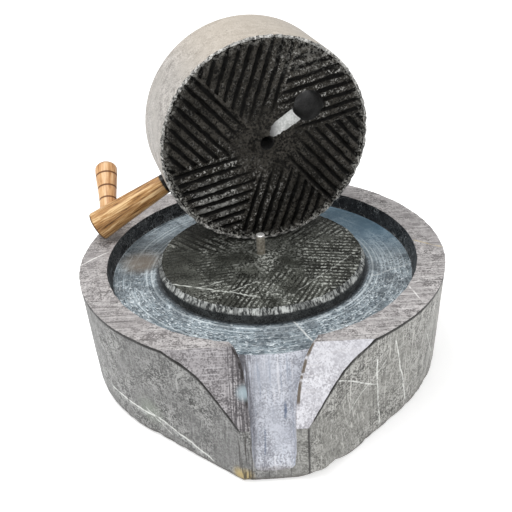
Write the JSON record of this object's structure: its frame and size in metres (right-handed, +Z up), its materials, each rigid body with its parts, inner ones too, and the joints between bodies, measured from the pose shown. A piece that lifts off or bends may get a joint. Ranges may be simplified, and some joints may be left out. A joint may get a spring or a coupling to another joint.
{
  "type": "rotary quern",
  "caption": "Carved stone hand mill, opened: round basin with raised bed disc and sloping spout, steel spindle, and a runner stone with wooden crank stood on its rim on the bed.",
  "frame": {"origin": "middle of the basin's flat underside, straight below the spindle pin", "axes": "+Z up along the spindle; -Y from the spindle out through the spout; +X to the right as seen from the spout"},
  "size_m": [0.3449, 0.368, 0.3039],
  "materials": {
    "basin_stone": "grey stone, sawn and chiselled, with white veins",
    "pin_steel": "turned steel, bright top",
    "runner_stone": "dark dressed grinding face, pale smooth side",
    "arm_wood": "oiled, brown grain",
    "grip_wood": "oiled, turned, with scribed lines"
  },
  "bodies": {
    "root": {"basin_stone": "basin_stone", "spindle_pin": "pin_steel", "runner_stone": "runner_stone", "handle_arm": "arm_wood", "handle_grip": "grip_wood"}
  },
  "joints": []
}
